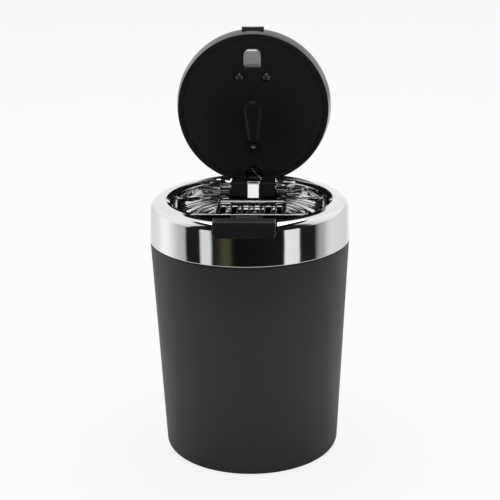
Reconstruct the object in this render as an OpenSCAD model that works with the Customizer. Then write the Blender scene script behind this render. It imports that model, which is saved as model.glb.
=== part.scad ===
// Portable ashtray bin for a cup holder: a tapered cup with a plug-in head.
// The head is a chrome ring with a slotted grille, a spring lid on a rear hinge
// and a push button whose latch frame holds the lid shut. The lid is drawn open.
// Origin: centre of the base, +Z up, hinge at +Y, button at -Y. Millimetres.

/* [Cup] */
// Outer radius of the base
base_r = 35.2; // [34.6:0.1:35.8]
// Outer radius of the cup just under its rim
rim_r = 39.8; // [39.6:0.1:40]
// Height of the rim
rim_z = 88.7; // [88.5:0.1:88.8]
// Rounding of the bottom edge
base_round = 3.4; // [2:0.2:5]
// Thickness of the cup's floor
floor_t = 2.4; // [1.6:0.2:4]
// Bore radius of the cup's mouth
mouth_r = 37.5; // [37.3:0.1:37.6]
// Depth of the straight bore in the mouth
mouth_depth = 10; // [9:0.5:14]

/* [Ring] */
// Outer radius of the ring at its lower edge
ring_r = 40; // [39.9:0.1:40.2]
// Height of the ring's lower edge
ring_z = 89; // [88.9:0.05:89.2]
// Height of the ring's flat top
top_z = 105.3; // [105.2:0.1:105.6]
// Radius of the opening at the flat top
opening_r = 33; // [33:0.05:33.2]
// Radius of the rounded outer shoulder
shoulder_r = 3.8; // [3:0.2:4]

/* [Lid] */
// Outer radius of the lid
lid_r = 32.7; // [32.5:0.05:32.75]
// Thickness of the lid at its rim
lid_t = 8.6; // [8:0.1:9]
// Rise of the crowned outer face above the rim
lid_crown = 0.6; // [0.2:0.1:1]
// Radius of the inner panel
panel_r = 30.95; // [30.8:0.05:31]
// Thickness of the inner panel
panel_t = 1.8; // [1.4:0.1:1.9]

/* [Hinge] */
// Distance of the hinge axis behind the centre
hinge_y = 32.8; // [32.7:0.05:32.9]
// Height of the hinge axis
hinge_z = 100.5; // [100.4:0.05:100.6]
// Distance from the hinge axis to the lid's inner face
lid_offset = 3.2; // [3.1:0.05:3.3]
// Radius of the hinge pin
pin_r = 1; // [0.9:0.05:1.1]
// Half width of the lid's hinge block
block_x = 9.2; // [9:0.1:9.3]

/* [Button] */
// Half width of the button
button_x = 11.8; // [11:0.1:11.9]
// Height of the button's front face
button_h = 6.35; // [5.8:0.05:6.5]
// Travel of the button
button_travel = 2; // [1.5:0.1:2]

/* [Grille] */
// Pitch of the comb slots
comb_pitch = 4.6; // [4.2:0.1:4.8]
// Width of one comb slot
comb_slot = 2.3; // [2:0.1:2.8]

/* [Hidden] */

eps = 0.01;
run_fit = 0.05;          // radial clearance of a pin or plug that moves in its bore
gap = 0.3;               // clearance between pieces that pass each other

// Cup
cup_wall = 1.9;
cup_inner_base_r = 33;
inner_round = 3;

// Ring
ring_top_r = ring_r - 0.5;
shoulder_c = [ring_top_r - shoulder_r, top_z - shoulder_r];
bevel_r = opening_r - 1;         // radius at the foot of the lid's conical seat
bevel_z = top_z - 1.4;
throat_r = 31.2;                 // radius of the tapered inner wall at its lower edge
throat_z = 97.2;
web_z = 95.3;                    // top of the collar's web, on which the grille lies
web_t = 1.4;
boss_x = 13.6;                   // half width of the solid hinge boss
boss_r_in = 33.1;
pocket_x = block_x + 0.4;        // half width of the hinge pocket
post_x = 2.3;                    // half width of the central hinge post
slot_x = 2.6;                    // half width of the slot in the lid's hinge block
screw_pcr = 34.6;                // radius of the circle of collar screws
screw_angles = [22, 158, 202, 338];
screw_shank_r = 0.95;

// Lid, in its own plane: v runs up the open lid from its centre, w runs into its thickness
lid_face_y = hinge_y + lid_offset;
lid_centre_z = hinge_z + hinge_y;
rim_draft = 1.3;                 // how much smaller the rim is at the lid's face
crown_round = 1.6;
inner_w = 6.8;                   // depth of the hollow at the rim of the shell
screw_x = 5.7;
screw_v = 13.5;
keyhole_v = -0.3;
keyhole_r = 3.95;
keyhole_tail_v = -13.3;
keyhole_tail_r = 2;
led_v = -16;
spring_hole_v = -27.8;
spring_hole_r = 3.45;
window_x = 3.75;
window_v = [17.3, 25.6];
board_w = 5.6;
board_t = 0.9;
cell_c = [-14, -8];
cell_r = 8;
cell_w = [2.5, 5];
coil_r = 1.75;                   // mean radius of the lid spring
coil_wire = 0.6;
coil_turns = 4.5;
coil_x = [3.2, 6.2];

// Button and latch
button_front = -41;
button_back = -35;
button_z = 100.6;
flange_r = [36.3, 37.55];
flange_z = [97.6, 101.3];
flange_x = 13.6;
notch_x = button_x + 0.5;
slide_z = [102, 103.2];
slide_x = [4.5, 6.2];
nose_y = [-20.6, -19];
button_spring_x = 7.5;
button_spring_z = 99.1;
button_spring_r = 1.25;
button_spring_wire = 0.4;

fn_round = 128;
fn_small = 32;

// Points along an arc, from angle a0 to a1
function arc(c, r, a0, a1, n = 6) =
    [for (i = [0:n]) let (a = a0 + (a1 - a0) * i / n) c + r * [cos(a), sin(a)]];

// Outer radius of the tapered cup at a height
function cup_r(z) = base_r + (rim_r - base_r) * z / rim_z;

// Distance of the lid's rim from the hinge axis, in the plane at x, for a rim point that
// lies at radius r on the lid and stands dz above the axis when the lid is shut
function rim_swing(x, r, dz) = norm([hinge_y - sqrt(max(r * r - x * x, 0)), dz]);

// Radius of the space that the swinging lid leaves free round the hinge axis
function free_r(x) = rim_swing(x, lid_r - rim_draft, lid_offset) - gap;

// Swept round wire along a helix about the X axis, with straight ends
function helix_point(r, x0, x1, turns, a0, t) =
    let (a = a0 + 360 * turns * t) [x0 + (x1 - x0) * t, r * cos(a), r * sin(a)];

module swept_wire(path, r, sides = 6) {
    n = len(path);
    rings = [for (i = [0:n - 1])
        let (
            ahead = path[min(i + 1, n - 1)] - path[max(i - 1, 0)],
            dir = ahead / norm(ahead),
            ref = abs(dir[0]) < 0.9 ? [1, 0, 0] : [0, 1, 0],
            side = cross(dir, ref) / norm(cross(dir, ref)),
            up = cross(side, dir)
        )
        for (k = [0:sides - 1])
            path[i] + r * (side * cos(360 * k / sides) + up * sin(360 * k / sides))];
    skin = [for (i = [0:n - 2], k = [0:sides - 1])
        let (a = i * sides + k, b = i * sides + (k + 1) % sides)
        [a, a + sides, b + sides, b]];
    first = [for (k = [0:sides - 1]) k];
    last = [for (k = [sides - 1:-1:0]) (n - 1) * sides + k];
    polyhedron(concat(rings), concat(skin, [first], [last]));
}

// Places children on the open lid: x across, v up from its centre, w into its thickness
module on_lid(x = 0, v = 0, w = 0) {
    translate([0, lid_face_y, lid_centre_z])
        rotate([-90, 0, 0])
            translate([x, -v, w])
                children();
}

// A bar along X of the given half width, from a profile in the YZ plane
module bar_x(half_x) {
    rotate([90, 0, 90])
        linear_extrude(2 * half_x, center = true)
            children();
}

// ---- Cup ----

module outer_cup() {
    color("#2b2b2d")
        rotate_extrude($fn = fn_round)
            polygon(concat(
                [[0, 0]],
                arc([cup_r(base_round) - base_round, base_round], base_round, -90, -3),
                [[rim_r, rim_z - 0.6], [rim_r - 0.5, rim_z], [mouth_r + 0.4, rim_z],
                 [mouth_r, rim_z - 0.4], [mouth_r, rim_z - mouth_depth],
                 [cup_r(rim_z - mouth_depth) - cup_wall, rim_z - mouth_depth - 0.6]],
                arc([cup_inner_base_r - inner_round, floor_t + inner_round], inner_round, 0, -90),
                [[0, floor_t]]));
}

// ---- Head: ring, collar, screws, grille, pin ----

ring_outside = concat(
    [[ring_r, ring_z + 0.3], [ring_top_r, shoulder_c[1]]],
    arc(shoulder_c, shoulder_r, 0, 90, 8),
    [[opening_r + 0.25, top_z], [opening_r + 0.05, top_z - 0.15], [opening_r + 0.05, top_z - 0.35],
     [bevel_r, bevel_z], [bevel_r - 0.1, bevel_z - 0.3]]);

module ring_shell() {
    rotate_extrude($fn = fn_round)
        polygon(concat(
            [[ring_r - 0.3, ring_z]],
            ring_outside,
            [[throat_r, throat_z], [throat_r + 1.8, throat_z], [opening_r + 0.9, bevel_z - 0.6],
             [shoulder_c[0] + 0.2, top_z - 1.7], [ring_top_r - 1.6, shoulder_c[1]],
             [ring_r - 1.7, ring_z + 8], [ring_r - 1.7, ring_z]]));
}

module hinge_boss() {
    intersection() {
        rotate_extrude($fn = fn_round)
            polygon(concat(
                ring_outside,
                [[boss_r_in - 1.6, throat_z + 0.1], [boss_r_in, throat_z + 0.1],
                 [boss_r_in, web_z + 0.1], [ring_top_r - 0.8, web_z + 0.1]]));
        translate([-boss_x, 20, ring_z])
            cube([2 * boss_x, 22, 20]);
    }
}

// Scoop for the rim of the open lid, and the saddle that its edge sweeps while it turns
module lid_clearance() {
    translate([0, lid_face_y - gap, lid_centre_z])
        rotate([-90, 0, 0])
            cylinder(r = lid_r + 0.4, h = 12, $fn = fn_round);
    saddle_x = 28;
    saddle_steps = 28;
    difference() {
        union() {
            translate([-saddle_x, hinge_y, hinge_z])
                cube([2 * saddle_x, lid_face_y + 0.2 - hinge_y, 8]);
            // in front of the axis the lid only lifts away
            translate([-saddle_x, 16, bevel_z - 0.4])
                cube([2 * saddle_x, hinge_y + 0.1 - 16, 8]);
        }
        translate([0, hinge_y, hinge_z])
            rotate([0, 90, 0])
                rotate_extrude($fn = 96)
                    polygon(concat(
                        [[0, -saddle_x - 1]],
                        [for (i = [-saddle_steps:saddle_steps])
                            let (x = saddle_x * i / saddle_steps)
                            [free_r(x), x + sign(i) * (abs(i) == saddle_steps ? 1 : 0)]],
                        [[0, saddle_x + 1]]));
    }
}

// Post between the two halves of the lid's hinge block, with a spreading foot in front
module hinge_post() {
    front = hinge_y - 3.1;
    top = hinge_z + 2;
    bar_x(post_x)
        polygon(concat(
            [[front, web_z + 0.1], [ring_top_r - 1, web_z + 0.1], [ring_top_r - 1, 97.6],
             [hinge_y + 2.6, 99]],
            arc([hinge_y + 1.2, top - 0.8], 0.8, 0, 90, 4),
            arc([front + 0.7, top - 0.7], 0.7, 90, 180, 4)));
    translate([0, front - 1.9, web_z + 0.1])
        linear_extrude(1.5)
            polygon([[-3.1, 0], [3.1, 0], [3.1, 1], [2.3, 1.3], [2.3, 2], [-2.3, 2],
                     [-2.3, 1.3], [-3.1, 1]]);
}

module chrome_ring() {
    color("#c9ccd0")
        difference() {
            union() {
                difference() {
                    union() {
                        ring_shell();
                        hinge_boss();
                        for (a = screw_angles)
                            rotate([0, 0, a])
                                translate([screw_pcr, 0, web_z])
                                    cylinder(r = 1.9, h = 8.4, $fn = fn_small);
                    }
                    // hinge pocket
                    translate([-pocket_x, 26, web_z - 1])
                        cube([2 * pocket_x, 11.4, 12]);
                    lid_clearance();
                    // front notch of the button
                    translate([-notch_x, -44, button_z - 0.4])
                        cube([2 * notch_x, 18, 8]);
                    // pilot holes of the collar screws
                    for (a = screw_angles)
                        rotate([0, 0, a])
                            translate([screw_pcr, 0, web_z - 1])
                                cylinder(r = screw_shank_r - 0.15, h = 7, $fn = fn_small);
                }
                hinge_post();
            }
            // seats of the hinge pin, open downwards
            translate([0, hinge_y, hinge_z])
                rotate([0, 90, 0])
                    cylinder(r = pin_r + 0.01, h = 24.4, center = true, $fn = fn_small);
            for (s = [-1, 1])
                translate([s * 11 - 1.2, hinge_y - pin_r, web_z - 1])
                    cube([2.4, 2 * pin_r, hinge_z - web_z + 1]);
        }
}

module plug_collar() {
    plug_r = mouth_r - run_fit;
    color("#1c1c1e")
        difference() {
            union() {
                rotate_extrude($fn = fn_round)
                    polygon([
                        [plug_r - 0.6, rim_z - mouth_depth + 0.7], [plug_r, rim_z - mouth_depth + 1.6],
                        [plug_r, ring_z + 0.4], [38.1, ring_z + 0.8], [38.1, ring_z + 5.4],
                        [37.2, web_z], [30.6, web_z], [30.6, web_z - web_t],
                        [36.1, web_z - web_t], [36.1, rim_z - mouth_depth + 0.7]]);
                // pegs that close the pin seats
                for (s = [-1, 1])
                    translate([s * 11, hinge_y, 0])
                        translate([-1, -pin_r + 0.1, web_z - eps])
                            cube([2, 2 * pin_r - 0.2, hinge_z - pin_r - web_z - 0.1]);
            }
            for (a = screw_angles)
                rotate([0, 0, a])
                    translate([screw_pcr, 0, web_z - 5])
                        cylinder(r = screw_shank_r + 0.15, h = 8, $fn = fn_small);
        }
}

module screw(shank_r, shank_l, head_r, head_h) {
    cylinder(r = shank_r, h = shank_l, $fn = fn_small);
    translate([0, 0, -head_h])
        cylinder(r = head_r, h = head_h + eps, $fn = fn_small);
}

module collar_screws() {
    color("#8d9096")
        for (a = screw_angles)
            rotate([0, 0, a])
                translate([screw_pcr, 0, web_z - web_t - 0.02])
                    screw(screw_shank_r - 0.17, 6.5, 1.4, 1);
}

grille_r = 32.4;
grille_top = 97;
grille_plate = 0.9;
front_edge = 4.3;                // front edge of the grille's rear half
comb_y = [5.6, 16.4];
pocket_y = [9.8, 16];
groove_y = [21.7, 24.1];
island_x = 14.3;
opening_in = 24.6;               // inner radius of the gap beside the rear half
opening_out = 28.6;
gap_end = 21;                    // angle at which the gap ends
slot_r = [20.9, 24.1, 27.2];     // radii of the curved slots
slot_from = [16, 33, 46];        // angle at which each slot starts
rib_r = [19.2, 22.5, 25.7];      // radii of the raised ribs

// Sector of a ring on one flank of the grille, mirrored to the other for side -1
module flank_sector(side, r0, r1, a0, a1, h) {
    rotate([0, 0, side == 1 ? a0 : 180 - a1])
        rotate_extrude(angle = a1 - a0, $fn = fn_round)
            translate([r0, 0])
                square([r1 - r0, h]);
}

// Pointed rest in the middle of the comb, with its tip to the front
module comb_point(half_width, back, tip, h) {
    linear_extrude(h)
        polygon([[-half_width, back], [half_width, back], [0.5, tip], [-0.5, tip]]);
}

module grille_cutouts() {
    // wide drop opening that takes up the front half
    intersection() {
        cylinder(r = opening_out - 2, h = 4, $fn = fn_round);
        translate([-30, front_edge - 34, -1])
            cube([60, 34, 6]);
    }
    // its outer band, which runs on round the front corners of the rear half
    rotate([0, 0, 180 - gap_end])
        rotate_extrude(angle = 180 + 2 * gap_end, $fn = fn_round)
            translate([opening_in, 0])
                square([opening_out - opening_in, 4]);
    for (side = [-1, 1]) {
        // through slots of the comb
        for (i = [0.5:1:2.5])
            translate([side * i * comb_pitch - comb_slot / 2, comb_y[0], 0])
                cube([comb_slot, comb_y[1] - comb_y[0], 4]);
        // curved slots
        for (i = [0:len(slot_r) - 1])
            flank_sector(side, slot_r[i] - 0.75, slot_r[i] + 0.75, slot_from[i],
                acos((island_x + 0.5) / slot_r[i]), 4);
    }
}

module ash_grille() {
    plate_z = web_z + 0.05;
    rib_h = grille_top - plate_z;
    color("#d5d7da")
        difference() {
            union() {
                // plate with a rim bead under the tapered wall
                translate([0, 0, plate_z])
                    rotate_extrude($fn = fn_round)
                        polygon([[0, 0], [grille_r, 0], [grille_r, rib_h + 0.1],
                            [30, rib_h + 0.1], [30, grille_plate], [0, grille_plate]]);
                // raised island of the comb
                translate([-island_x, front_edge - 0.6, plate_z + 0.2])
                    cube([2 * island_x, 28.2 - front_edge, rib_h - 0.2]);
                for (side = [-1, 1]) {
                    // curved ribs
                    for (i = [0:len(rib_r) - 1])
                        translate([0, 0, plate_z + 0.2])
                            flank_sector(side, rib_r[i] - 0.65, rib_r[i] + 0.65, 8 + 5 * i,
                                acos((island_x - 0.7) / rib_r[i]), rib_h - 0.25);
                    // raised front edge and raised end of the rear half
                    translate([side == 1 ? island_x - 1 : -23.9, front_edge - 0.6, plate_z + 0.2])
                        cube([24.9 - island_x, 1.9, rib_h - 0.22]);
                    translate([0, 0, plate_z + 0.2])
                        flank_sector(side, 23, opening_in + 0.6, 12.6, gap_end - 0.7, rib_h - 0.28);
                }
            }
            // pockets in the tops of the bars between the slots
            for (i = [-2:2])
                translate([i * comb_pitch - 0.75, pocket_y[0], grille_top - 0.7])
                    cube([1.5, pocket_y[1] - pocket_y[0], 2]);
            // groove behind the comb
            translate([-island_x + 0.9, groove_y[0], grille_top - 1.1])
                cube([2 * island_x - 1.8, groove_y[1] - groove_y[0], 3]);
            difference() {
                translate([0, 0, plate_z - 1])
                    grille_cutouts();
                // solid web that carries the pointed rest
                translate([0, 0, plate_z - 2])
                    comb_point(5.6, comb_y[1] + 1, front_edge + 0.7, grille_plate + 2.1);
            }
            // V groove round the pointed rest
            difference() {
                translate([0, 0, grille_top - 0.8])
                    comb_point(4.6, comb_y[1] - 0.1, 6.4, 3);
                comb_point(3.3, comb_y[1] + 1, 8.8, 200);
            }
            // room for the hinge block
            translate([-pocket_x - 0.6, 27.4, plate_z - 1])
                cube([2 * pocket_x + 1.2, 10, 5]);
        }
}

module hinge_pin() {
    color("#b4b7bb")
        translate([0, hinge_y, hinge_z])
            rotate([0, 90, 0])
                cylinder(r = pin_r, h = 24, center = true, $fn = fn_small);
}

// ---- Lid ----

module lid_shell() {
    color("#161617")
        difference() {
            union() {
                on_lid()
                    rotate_extrude($fn = fn_round)
                        polygon(concat(
                            [[panel_r + 0.1, 0], [lid_r - rim_draft, 0], [lid_r, lid_t - crown_round]],
                            arc([lid_r - crown_round, lid_t - crown_round], crown_round, 0, 80),
                            [for (i = [7:-1:0])
                                let (r = (lid_r - crown_round - 1) * i / 8)
                                [r, lid_t + lid_crown * (1 - pow(r / (lid_r - crown_round), 2))]],
                            [[0, inner_w + 0.5], [28.6, inner_w], [29.6, inner_w - 1],
                             [29.6, panel_t + 0.05], [panel_r + 0.1, panel_t + 0.05]]));
                // bosses of the panel screws
                for (s = [-1, 1])
                    on_lid(s * screw_x, screw_v, panel_t + 1)
                        cylinder(r = 2.1, h = inner_w - panel_t - 0.6, $fn = fn_small);
                // pegs that locate the circuit board
                for (s = [-1, 1])
                    on_lid(s * 9, -8, board_w - 0.3) {
                        cylinder(r = 0.7, h = inner_w - board_w + 0.8, $fn = fn_small);
                        translate([0, 0, board_t + 0.35])
                            cylinder(r = 1.6, h = 0.9, $fn = fn_small);
                    }
                // thumb lip at the front edge
                on_lid(0, 0, 0)
                    rotate([90, 0, 90])
                        linear_extrude(2 * 4.6, center = true)
                            polygon([[-lid_r + 1.6, 3.8], [-lid_r - 0.4, 3.8], [-lid_r - 0.62, 4.1],
                                     [-lid_r - 0.62, 8.1], [-lid_r - 0.2, 8.5],
                                     [-lid_r + 1.6, 8.5]]);
            }
            // gap for the hinge block
            on_lid(-block_x - 0.3, -20, -1)
                cube([2 * block_x + 0.6, 20, panel_t + 1.05]);
            for (s = [-1, 1])
                on_lid(s * screw_x, screw_v, panel_t)
                    cylinder(r = screw_shank_r - 0.15, h = 4.2, $fn = fn_small);
        }
}

// Window with rounded upper corners, or the same outline drawn inwards by an inset
module window_outline(inset = 0, v0 = window_v[0]) {
    corner = 2.6 - inset;
    half = window_x - inset;
    v1 = window_v[1] - inset;
    polygon(concat(
        [[-half, -v0], [half, -v0]],
        [for (p = arc([half - corner, v1 - corner], corner, 0, 90)) [p[0], -p[1]]],
        [for (p = arc([corner - half, v1 - corner], corner, 90, 180)) [p[0], -p[1]]]));
}

// Hinge block in the YZ plane: flat front, rounded corners, tongue up into the panel
module block_outline() {
    front = hinge_y - 3.4;
    foot = hinge_z - 4.3;
    corner = 1.8;
    back_r = 4.1;
    polygon(concat(
        arc([front + corner, foot + corner], corner, 180, 270, 5),
        arc([hinge_y, hinge_z], back_r, 278, 360, 8),
        [[hinge_y + back_r, 106], [lid_face_y + 0.1, 106], [lid_face_y, 103.4]],
        arc([front + 0.8, 102.6], 0.8, 90, 180, 4)));
}

module lid_panel() {
    color("#19191a")
        difference() {
            union() {
                on_lid()
                    cylinder(r = panel_r, h = panel_t, $fn = fn_round);
                bar_x(block_x)
                    block_outline();
                // raised keyhole moulding: a round head with a tapering tail
                on_lid(0, 0, -1.2) {
                    translate([0, -keyhole_v, 0])
                        cylinder(r = keyhole_r, h = 1.4, $fn = 64);
                    translate([0, -keyhole_tail_v, 0])
                        cylinder(r = keyhole_tail_r, h = 1.4, $fn = fn_small);
                    linear_extrude(1.4)
                        polygon([[-keyhole_r, -keyhole_v], [keyhole_r, -keyhole_v],
                                 [keyhole_tail_r, -keyhole_tail_v],
                                 [-keyhole_tail_r, -keyhole_tail_v]]);
                }
                // bezel of the lamp
                on_lid(0, led_v, -0.5)
                    cylinder(r = 2.7, h = 0.7, $fn = 48);
            }
            // shallow step inside the edge
            on_lid(0, 0, -1)
                difference() {
                    cylinder(r = 29.3, h = 1.2, $fn = fn_round);
                    translate([0, 0, -1])
                        cylinder(r = 28.9, h = 4, $fn = fn_round);
                }
            on_lid(0, 0, -1)
                linear_extrude(panel_t + 2)
                    window_outline();
            for (s = [-1, 1])
                on_lid(s * screw_x, screw_v, 0) {
                    translate([0, 0, -1])
                        cylinder(r = 2, h = 1.9, $fn = fn_small);
                    translate([0, 0, -1])
                        cylinder(r = screw_shank_r + 0.15, h = 4, $fn = fn_small);
                }
            // seat of the lamp
            on_lid(0, led_v, -2)
                cylinder(r = 1.55, h = 6, $fn = fn_small);
            on_lid(0, led_v, -2)
                cylinder(r = 2.05, h = 2.6, $fn = fn_small);
            // hole that shows the spring's leg
            on_lid(0, spring_hole_v, -8)
                cylinder(r = spring_hole_r, h = 12, $fn = 64);
            // slot for the hinge post
            translate([-slot_x, 26, 94])
                cube([2 * slot_x, 14, 9.4]);
            // pin bore, and the wider bore round the spring's coil
            translate([0, hinge_y, hinge_z])
                rotate([0, 90, 0])
                    cylinder(r = pin_r + run_fit, h = 24, center = true, $fn = fn_small);
            translate([slot_x - eps, hinge_y, hinge_z])
                rotate([0, 90, 0])
                    cylinder(r = 2.35, h = 4.2, $fn = 48);
            // slice that lets the block turn past the spring's fixed leg
            translate([coil_x[1] - 0.5, hinge_y - 2.35, 94])
                cube([1, 8, hinge_z - 94]);
            // groove for the spring's upper leg
            translate([slot_x - eps, hinge_y + 1.2, hinge_z])
                cube([1.2, 3.9, 5]);
        }
}

module latch_hook() {
    t = 0.9;
    lip_w = -2.8;                // how far the lip stands out of the panel
    top_v = window_v[1] - 0.25;
    edge_v = window_v[0] + 1.8;  // where the lip's free edge ends
    foot_w = panel_t + 0.1;
    bend = 1.5;
    color("#b9bcc0")
        difference() {
            on_lid()
                union() {
                    // profile in (-v, w), drawn along x, with its corners cut to the window
                    intersection() {
                        rotate([90, 0, 90])
                            linear_extrude(8, center = true)
                                polygon(concat(
                                    arc([-top_v + bend, lip_w + bend], bend, 180, 270),
                                    [[-edge_v, lip_w], [-edge_v, lip_w + t]],
                                    arc([-top_v + bend, lip_w + bend], bend - t, 270, 180),
                                    [[-top_v + t, foot_w], [-screw_v + 2, foot_w],
                                     [-screw_v + 2, foot_w + t], [-top_v, foot_w + t]]));
                        translate([0, 0, lip_w - 1])
                            linear_extrude(foot_w + t - lip_w + 2)
                                window_outline(0.25, screw_v - 2);
                    }
                    // ears under the screws
                    translate([-screw_x - 2.3, -screw_v - 2, foot_w])
                        cube([2 * screw_x + 4.6, 4, t]);
                }
            for (s = [-1, 1])
                on_lid(s * screw_x, screw_v, 0)
                    cylinder(r = screw_shank_r + 0.15, h = 8, $fn = fn_small);
            // hollowed free edge of the lip
            on_lid(0, edge_v - 8.4, lip_w - 1)
                cylinder(r = 9, h = t + 1.4, $fn = 64);
        }
}

module lid_screws() {
    color("#c2c4c7")
        for (s = [-1, 1])
            on_lid(s * screw_x, screw_v, 0.86)
                screw(screw_shank_r - 0.17, 4.6, 1.7, 0.8);
}

module lid_spring() {
    // fixed leg back to the ring, coil in the hinge block, moving leg up to the round hole
    n = round(coil_turns * 14);
    foot = [[coil_x[1], lid_face_y + 1, hinge_z - coil_r],
            [coil_x[1], hinge_y + 0.6, hinge_z - coil_r]];
    turn = [for (i = [0:n])
        [0, hinge_y, hinge_z]
        + helix_point(coil_r, coil_x[1], coil_x[0], -coil_turns, 270, i / n)];
    leg = [[coil_x[0] - 0.05, hinge_y + coil_r + 0.2, hinge_z + 1.6],
           [coil_x[0] - 0.2, lid_face_y + 0.3, hinge_z + 3.4],
           [1.6, lid_face_y + 0.9, hinge_z + 4.2],
           [-1.2, lid_face_y + 0.9, hinge_z + 7.4]];
    color("#a9acb0")
        swept_wire(concat(foot, turn, leg), coil_wire / 2);
}

module led_lamp() {
    color("#e8eef2")
        union() {
            on_lid(0, led_v, 0)
                cylinder(r = 1.5, h = 3.2, $fn = fn_small);
            on_lid(0, led_v, 0)
                sphere(r = 1.5, $fn = fn_small);
            on_lid(0, led_v, panel_t + 0.1)
                cylinder(r = 1.9, h = 1, $fn = fn_small);
            for (s = [-1, 1])
                on_lid(s * 0.64 - 0.25, led_v + 0.25, 3)
                    cube([0.5, 0.5, board_w - 3 - 0.02]);
        }
}

module circuit_board() {
    color("#2f6b3a")
        on_lid(-22, 3, board_w)
            difference() {
                union() {
                    translate([3, 0, 0])
                        cube([28, 22, board_t]);
                    translate([0, 3, 0])
                        cube([34, 16, board_t]);
                    for (x = [3, 31], y = [3, 19])
                        translate([x, y, 0])
                            cylinder(r = 3, h = board_t, $fn = fn_small);
                }
                for (s = [-1, 1])
                    translate([22 + s * 9, 11, -1])
                        cylinder(r = 0.8, h = 4, $fn = fn_small);
            }
}

module coin_cell() {
    color("#c6c8ca")
        on_lid(cell_c[0], cell_c[1], 0) {
            translate([0, 0, cell_w[0]])
                cylinder(r = cell_r, h = 1.9, $fn = 64);
            translate([0, 0, cell_w[0] + 1])
                cylinder(r = cell_r - 0.9, h = cell_w[1] - cell_w[0] - 1, $fn = 64);
        }
}

module battery_clip() {
    t = 0.3;
    reach = cell_r + 0.9;
    color("#c9b98a")
        on_lid(cell_c[0], cell_c[1], 0) {
            translate([-2, -reach, cell_w[0] - t - 0.05])
                cube([4, 2 * reach, t]);
            for (s = [-1, 1])
                translate([-2, s * (reach - t / 2) - t / 2, cell_w[0] - t - 0.05])
                    cube([4, t, board_w - cell_w[0] + t + 0.03]);
        }
}

module battery_contact() {
    color("#c9b98a")
        on_lid(cell_c[0], cell_c[1], cell_w[1] + 0.05) {
            translate([0, 0, 0.2])
                cylinder(r = 4, h = board_w - cell_w[1] - 0.27, $fn = fn_small);
            for (a = [0:120:240])
                rotate([0, 0, a])
                    translate([0.6, -0.7, 0])
                        cube([3, 1.4, 0.3]);
        }
}

module tilt_switch() {
    can_w = board_w - 1.75;
    color("#b6b9bd")
        union() {
            on_lid(7, -9, can_w)
                rotate([90, 0, 0])
                    cylinder(r = 1.6, h = 6, $fn = fn_small);
            // leads out of both ends, bent down to the board
            on_lid(6.75, -1.5, can_w - 0.25)
                cube([0.5, 9, 0.5]);
            for (v = [-1.5, -10])
                on_lid(6.75, v, can_w - 0.25)
                    cube([0.5, 0.5, 1.98]);
        }
}

// ---- Button and latch ----

module button_face() {
    c = 1.3;
    top_c = 0.5;
    h = button_h;
    polygon(concat(
        arc([-button_x + c, c], c, 180, 270),
        arc([button_x - c, c], c, 270, 360),
        arc([button_x - top_c, h - top_c], top_c, 0, 90, 3),
        arc([top_c - button_x, h - top_c], top_c, 90, 180, 3)));
}

module push_button() {
    dish_r = 60;
    color("#232325")
        difference() {
            union() {
                // cap
                translate([0, button_back, button_z])
                    rotate([90, 0, 0])
                        linear_extrude(button_back - button_front)
                            button_face();
                // curved flange that keeps the cap in the ring
                intersection() {
                    translate([0, 0, flange_z[0]])
                        difference() {
                            cylinder(r = flange_r[1], h = flange_z[1] - flange_z[0], $fn = fn_round);
                            translate([0, 0, -1])
                                cylinder(r = flange_r[0], h = 8, $fn = fn_round);
                        }
                    translate([-flange_x, -40, flange_z[0] - 1])
                        cube([2 * flange_x, 20, 8]);
                }
            }
            // shallow dish in the front face
            translate([0, button_front - dish_r + 0.35, button_z + button_h / 2 - 0.3])
                rotate([0, 90, 0])
                    cylinder(r = dish_r, h = 2 * button_x - 2.2, center = true, $fn = 256);
            // hollow behind the face, for the latch frame's root
            translate([-slide_x[1] - 0.05, button_back - 2.05, slide_z[0] - 0.05])
                cube([2 * slide_x[1] + 0.1, 3, slide_z[1] - slide_z[0] + 0.1]);
            // seats of the springs
            for (s = [-1, 1])
                translate([s * button_spring_x, -36.3, button_spring_z])
                    rotate([-90, 0, 0])
                        cylinder(r = button_spring_r + 0.35, h = 3, $fn = fn_small);
        }
}

module latch_slide() {
    root_y = button_back - 2;
    t = slide_z[1] - slide_z[0];
    color("#3a3a3d")
        translate([0, 0, slide_z[0]])
            difference() {
                translate([-slide_x[1], root_y, 0])
                    cube([2 * slide_x[1], nose_y[1] - root_y, t]);
                // opening that the lid's hook drops into
                translate([-slide_x[0], -29.5, -1])
                    cube([2 * slide_x[0], nose_y[0] + 29.5, t + 2]);
                // sloped edge that the hook pushes back
                translate([0, nose_y[0], t])
                    rotate([45, 0, 0])
                        cube([2 * slide_x[0] - 0.8, 0.9, 0.9], center = true);
            }
}

module button_springs() {
    turns = 4;
    n = turns * 12;
    back = -36.05;
    front = -33.3;
    color("#a9acb0")
        for (s = [-1, 1])
            translate([s * button_spring_x, 0, button_spring_z])
                swept_wire([for (i = [0:n])
                    let (p = helix_point(button_spring_r, back, front, turns, 0, i / n))
                    [p[1], p[0], p[2]]], button_spring_wire / 2);
}

outer_cup();
chrome_ring();
plug_collar();
collar_screws();
ash_grille();
hinge_pin();
lid_shell();
lid_panel();
latch_hook();
lid_screws();
lid_spring();
led_lamp();
circuit_board();
coin_cell();
battery_clip();
battery_contact();
tilt_switch();
push_button();
latch_slide();
button_springs();
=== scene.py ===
# %% [markdown]
# # Portable ashtray bin: looks
#
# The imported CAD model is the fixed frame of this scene. It is loaded first, and everything that
# follows is either a finish for one of its pieces or a finer piece that stands for one of them.
# The size of the CAD box is kept, so that it can be compared with the finished model's box.

# %% Load the frame
import math
import bpy
import bmesh
from mathutils import Matrix, Quaternion, Vector


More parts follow.
